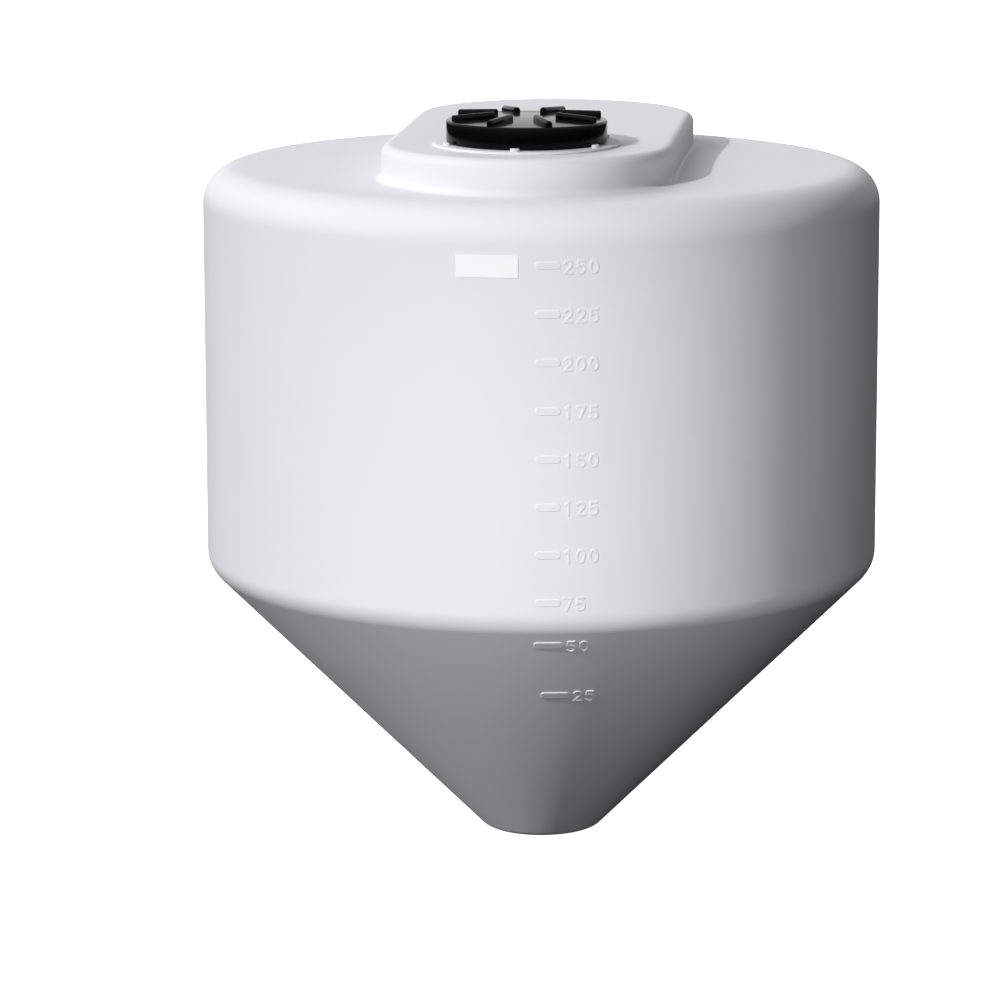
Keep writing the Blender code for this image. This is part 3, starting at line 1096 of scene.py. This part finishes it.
@dataclass
class ScrewLid:
    """The black screwed lid: a skirt with an inner thread, a domed face and eight half-round ribs."""

    finish: Finish = BlackMoulding()
    count: int = 160
    skirt_wall: float = 0.0045
    face_rise: float = 0.0053
    rim_edge: float = 0.0040
    foot_edge: float = 0.0012
    step_edge: float = 0.0012
    rib_count: int = 8
    rib_azimuth: float = math.radians(22.5)
    rib_half_width: float = 0.00625
    rib_inner: float = 0.0595
    rib_outer: float = 0.1345
    rib_fall: float = 0.0043
    rib_end: float = 0.0015
    rib_root: float = 0.0010
    thread_root: float = 0.0004
    thread_depth: float = 0.0024
    thread_start: float = 0.0040
    face_steps: int = 16
    edge_steps: int = 6
    rib_steps: int = 16
    end_steps: int = 5

    def __post_init__(self) -> None:
        """Reads the skirt and the face from the frame."""
        low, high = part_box("lid_skirt")
        self.centre = middle("lid_skirt")
        self.radius, self.bottom, self.top = high.x, low.z, high.z
        low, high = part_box("lid_disc")
        self.under, self.crest = low.z, high.z

    def face_height(self, reach: float) -> float:
        """Height of the domed face at a distance from the lid's centre."""
        return self.top + self.face_rise * (1 - (reach / (self.radius - self.rim_edge)) ** 2)

    def cap(self) -> Object:
        """Makes the skirt and the face in one, with the thread inside."""
        inside, edge = self.radius - self.skirt_wall, self.radius - self.rim_edge
        reaches = [edge * i / self.face_steps for i in range(self.face_steps)]
        corners = (
            (0.0, self.top),
            (self.radius, self.top),
            (self.radius, self.bottom),
            (inside, self.bottom),
            (inside, self.under),
            (0.0, self.under),
        )
        radii = (self.rim_edge, self.foot_edge, self.foot_edge, self.step_edge)
        section = [(reach, self.face_height(reach)) for reach in reaches]
        for i, radius in enumerate(radii):
            section += fillet(corners[i], corners[i + 1], corners[i + 2], radius, self.edge_steps)
        shape = bmesh.new()
        skin(shape, turned([*section, corners[-1]], self.centre, self.count))
        low = self.bottom + self.thread_start
        Thread(inside + self.thread_root, inside - self.thread_depth, low).wind(shape, self.centre)
        nodes = ["lid_skirt", "lid_disc"]
        return settle(piece("screw_lid", shape), Body.LID, self.finish, nodes)

    def rib(self, shape: BMesh, azimuth: float) -> None:
        """Adds one rib, half round on top, which falls with the face towards the rim.

        Args:
            shape: The mesh to add to.
            azimuth: The rib's direction from the lid's centre.
        """
        along = Vector((0, 0, 1)).cross(heading(azimuth))
        half = self.rib_half_width
        arc = [math.pi * i / self.rib_steps for i in range(self.rib_steps + 1)]
        sections = []
        for end, sign in ((self.rib_inner, 1), (self.rib_outer, -1)):
            for back, inset in quarter(self.end_steps)[::sign]:
                reach = end + sign * self.rib_end * back
                radius = half - self.rib_end * inset
                share = (reach - self.rib_inner) / (self.rib_outer - self.rib_inner)
                axis = self.crest - self.rib_fall * share - half
                foot = self.face_height(reach) - self.rib_root
                outline = [(radius * math.cos(a), axis + radius * math.sin(a)) for a in arc]
                outline = [(radius, foot), *outline, (-radius, foot)]
                points = [self.centre + polar(azimuth, reach, z) + along * x for x, z in outline]
                sections.append(points)
        swept(shape, sections)

    def build(self) -> list[Object]:
        """Makes the lid and its ribs."""
        shape = bmesh.new()
        for azimuth in turns(self.rib_count):
            self.rib(shape, self.rib_azimuth + azimuth)
        return [self.cap(), settle(piece("lid_ribs", shape), Body.LID, self.finish)]


@dataclass(frozen=True)
class StudioLamp:
    """What all lamps share: white light, an azimuth in degrees and a brightness."""

    name: str
    azimuth: float
    brightness: float

    def hang(self, light: Light, power: float, place: Vector, towards: Vector) -> None:
        """Adds the lamp, which lights matt surfaces only.

        Args:
            light: The lamp's light.
            power: Its power at a brightness of 1.
            place: Where the lamp is.
            towards: The direction in which it lies, seen from the tank.
        """
        light.energy = power * self.brightness
        lamp = bpy.data.objects.new(self.name, light)
        lamp.location = place
        lamp.rotation_mode = "QUATERNION"
        lamp.rotation_quaternion = towards.to_track_quat("Z", "Y")
        lamp.visible_glossy = False
        lamp.visible_camera = False
        bpy.context.scene.collection.objects.link(lamp)


@dataclass(frozen=True)
class StudioSun(StudioLamp):
    """A distant lamp at an elevation, with a softness, all in degrees."""

    elevation: float
    softness: float

    def build(self) -> None:
        """Adds the lamp."""
        light = bpy.data.lights.new(self.name, "SUN")
        light.angle = math.radians(self.softness)
        rise = math.radians(self.elevation)
        towards = polar(math.radians(self.azimuth), math.cos(rise), math.sin(rise))
        self.hang(light, math.pi, Vector(), towards)


@dataclass(frozen=True)
class StudioPanel(StudioLamp):
    """A round lamp near the tank, aimed at a height on the tank's axis."""

    distance: float
    height: float
    aim: float
    size: float
    power: float = 100.0

    def build(self) -> None:
        """Adds the lamp."""
        light = bpy.data.lights.new(self.name, "AREA")
        light.shape = "DISK"
        light.size = self.size
        place = polar(math.radians(self.azimuth), self.distance, self.height)
        self.hang(light, self.power, place, place - Vector((0, 0, self.aim)))


@dataclass
class Studio:
    """A pale floor, a white surround and soft light from the front left and above."""

    floor_half: float = 40.0
    floor_finish: Finish = StudioFloor()
    lamps: tuple[StudioLamp, ...] = (
        StudioSun("key", -40.0, 0.75, 28.0, 2.0),
        StudioSun("left_fill", -100.0, 0.40, 40.0, 40.0),
        StudioSun("right_fill", 40.0, 0.10, 25.0, 40.0),
        StudioSun("overhead", 0.0, 0.05, 85.0, 60.0),
        StudioSun("back_fill", 180.0, 0.10, 45.0, 50.0),
        StudioPanel("front_middle", 20.0, 0.04, 1.8, 0.9, 0.8, 1.0),
        StudioPanel("front_low", 0.0, 0.04, 1.8, 0.5, 0.5, 1.0),
    )
    sky_gloss: float = 1.00
    ground_gloss: float = 0.03
    horizon: float = 0.06

    def floor(self) -> Object:
        """Makes the floor, which lights nothing."""
        shape = bmesh.new()
        bmesh.ops.create_grid(shape, x_segments=8, y_segments=8, size=self.floor_half)
        made = piece("studio_floor", shape)
        made.data.materials.append(self.floor_finish.material())
        made.visible_diffuse = False
        made.visible_glossy = False
        return made

    def surround(self) -> None:
        """Makes the world: white to the camera, and a bright sky in what the surfaces mirror."""
        world = bpy.data.worlds.new("studio")
        world.use_nodes = True
        bpy.context.scene.world = world
        kit = NodeKit(world.node_tree)
        rays = kit.add("ShaderNodeLightPath").outputs
        seen, gloss = Value(kit, rays["Is Camera Ray"]), Value(kit, rays["Is Glossy Ray"])
        direction = kit.add("ShaderNodeTexCoord").outputs["Generated"]
        rise = kit.add("ShaderNodeSeparateXYZ", {}, {0: direction}).outputs["Z"]
        limits = {0: rise, 1: -self.horizon, 2: self.horizon, 3: self.ground_gloss, 4: self.sky_gloss}
        mirrored = Value(kit, kit.add("ShaderNodeMapRange", {}, limits).outputs[0])
        kit.feed(world.node_tree.nodes["Background"], {"Color": WHITE, "Strength": seen + gloss * mirrored})

    def build(self) -> None:
        """Sets up the floor, the surround and the lights."""
        self.floor()
        self.surround()
        for lamp in self.lamps:
            lamp.build()
        bpy.context.scene.view_settings.view_transform = "Standard"


@dataclass(frozen=True)
class Viewpoint:
    """The camera at the viewing angle of the photograph."""

    azimuth: float = math.radians(5.66)
    standoff: float = 7.981
    height: float = 2.1819
    tilt: float = math.radians(10.77)
    lens: float = 160.07
    sensor: float = 36.0
    shift: Pair = (-0.04142, -0.03)

    def build(self) -> None:
        """Adds the camera, aimed at the tank's axis, and makes it the scene's."""
        camera = bpy.data.cameras.new("viewpoint")
        camera.lens = self.lens
        camera.sensor_width = self.sensor
        camera.shift_x, camera.shift_y = self.shift
        camera.clip_end = 200.0
        made = bpy.data.objects.new("viewpoint", camera)
        made.location = polar(self.azimuth, self.standoff, self.height)
        made.rotation_euler = (math.pi / 2 - self.tilt, 0.0, self.azimuth)
        bpy.context.scene.collection.objects.link(made)
        bpy.context.scene.camera = made


def main() -> None:
    """Builds the sub-assemblies in order and reports each piece."""
    logging.basicConfig(level=logging.INFO, format="%(message)s")
    section = ShellSection()
    Viewpoint().build()
    Studio().build()
    tank = TankShell(section), VolumeMarks(section), BlankLabel(section), Manway()
    for part in (*tank, LidGasket(), ScrewLid()):
        for made in part.build():
            LOG.info("%s: %s with %d faces", type(part).__name__, made.name, len(made.data.polygons))


if __name__ == "__main__":
    main()
